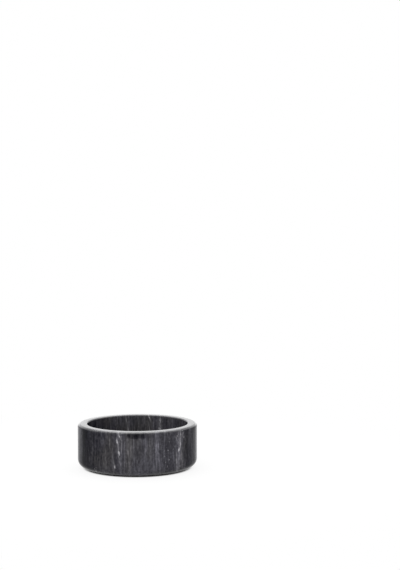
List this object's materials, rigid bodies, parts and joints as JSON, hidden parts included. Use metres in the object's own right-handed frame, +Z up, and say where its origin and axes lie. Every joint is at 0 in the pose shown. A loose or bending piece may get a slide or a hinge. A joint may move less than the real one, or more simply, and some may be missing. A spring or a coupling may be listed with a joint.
{
  "type": "wine bottle coaster",
  "caption": "Low round cup turned from dark grey streaked marble, with a rounded heel and a recess that holds the foot of a wine bottle, standing on thin stick-on grip pads.",
  "frame": {"origin": "on the table, at the centre of the coaster's round outline, under the grip pads", "axes": "+Z up along the cup's axis, -Y towards the viewer of the picture, +X to the viewer's right"},
  "size_m": [0.095, 0.095, 0.0355],
  "materials": {
    "marble": "polished",
    "pad_rubber": "matte",
    "pad_adhesive": "satin"
  },
  "bodies": {
    "root": {"marble_cup": "marble", "grip_pad_front_right": "pad_rubber", "grip_pad_back_right": "pad_rubber", "grip_pad_back_left": "pad_rubber", "grip_pad_front_left": "pad_rubber", "pad_adhesive_front_right": "pad_adhesive", "pad_adhesive_back_right": "pad_adhesive", "pad_adhesive_back_left": "pad_adhesive", "pad_adhesive_front_left": "pad_adhesive"}
  },
  "joints": []
}
